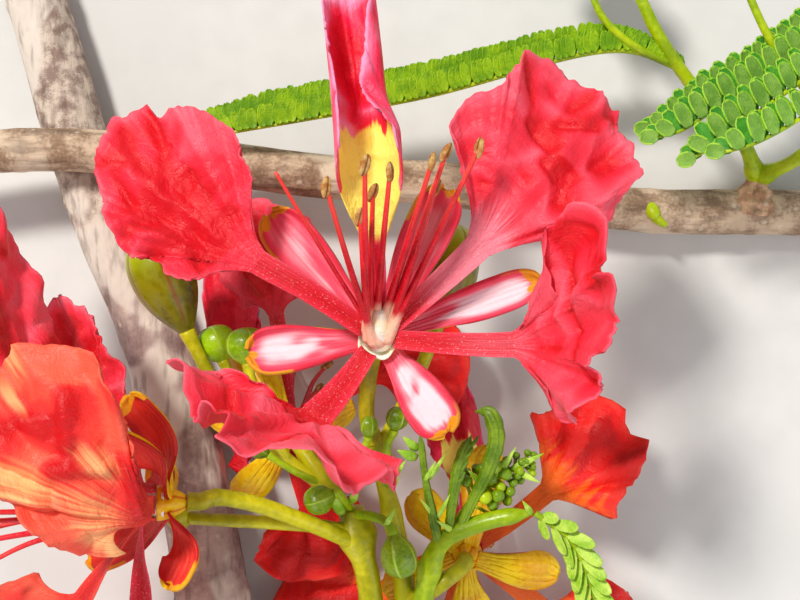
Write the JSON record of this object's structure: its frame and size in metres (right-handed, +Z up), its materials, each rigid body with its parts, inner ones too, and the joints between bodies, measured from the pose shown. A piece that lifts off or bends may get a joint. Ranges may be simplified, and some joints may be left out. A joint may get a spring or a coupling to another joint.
{
  "type": "cut flowering spray of a flame tree",
  "caption": "Cut flowering spray of a flame tree, lying down: bark limbs, a raceme of open red blooms, buds and compound leaves.",
  "frame": {"origin": "middle of the bounding box, on the ground that the spray lies on", "axes": "+Z up from the ground, which is also the way the main bloom opens; +Y along the main limb from its thick cut end to its thin one; +X along the side limb towards the leaves"},
  "size_m": [0.237, 0.2528, 0.0984],
  "materials": {
    "bark": "rough bark with pale lenticels",
    "young_bark": "smooth green-brown young bark",
    "green_stem": "smooth waxy green",
    "petal": "thin crinkled petal",
    "calyx": "waxy sepal, pink inside and yellow-green outside",
    "stamen": "fine dark red filament with tan anther",
    "bud": "glossy green bud with reddish seams",
    "leaf": "soft green leaflets with pale rims"
  },
  "bodies": {
    "root": {"bloom_a_calyx": "calyx", "bloom_a_pedicel": "green_stem", "bloom_a_petal_lower_left": "petal", "bloom_a_petal_right": "petal", "bloom_a_petal_standard": "petal", "bloom_a_petal_upper_left": "petal", "bloom_a_petal_upper_right": "petal", "bloom_a_stamens": "stamen", "bloom_b_calyx": "calyx", "bloom_b_pedicel": "green_stem", "bloom_b_petal_back": "petal", "bloom_b_petal_front": "petal", "bloom_b_petal_lower": "petal", "bloom_b_petal_lower_left": "petal", "bloom_b_petal_upper": "petal", "bloom_b_stamens": "stamen", "bloom_c_calyx": "calyx", "bloom_c_pedicel": "green_stem", "bloom_c_petal_left": "petal", "bloom_c_petal_lower": "petal", "bloom_c_petal_lower_right": "petal", "bloom_c_petal_right": "petal", "bloom_c_petal_standard": "petal", "bloom_c_stamens": "stamen", "bloom_d_calyx": "calyx", "bloom_d_pedicel": "green_stem", "bloom_d_petal_left": "petal", "bloom_d_petal_lower": "petal", "bloom_d_petal_standard": "petal", "bloom_d_petal_upper": "petal", "bloom_d_petal_upper_right": "petal", "bloom_d_stamens": "stamen", "bud_cluster_tip": "bud", "bud_hooked": "bud", "bud_large_left": "bud", "bud_large_right": "bud", "bud_round_left": "bud", "bud_round_right": "bud", "bud_small_behind": "bud", "bud_small_left": "bud", "bud_small_upper": "bud", "bud_striped": "bud", "flowering_shoot": "young_bark", "hooked_leaf_long": "leaf", "hooked_leaf_short": "leaf", "leaf_spur": "young_bark", "leaf_stalk_right": "green_stem", "leaf_stalk_upper": "green_stem", "limb_main": "bark", "limb_side": "bark", "pinna_front_high": "leaf", "pinna_front_low": "leaf", "pinna_front_middle": "leaf", "pinna_long": "leaf", "pinna_top": "leaf", "pinna_young": "leaf", "raceme_axis_left": "green_stem", "raceme_axis_middle": "green_stem", "raceme_axis_right": "green_stem", "young_stalk": "leaf"}
  },
  "joints": []
}
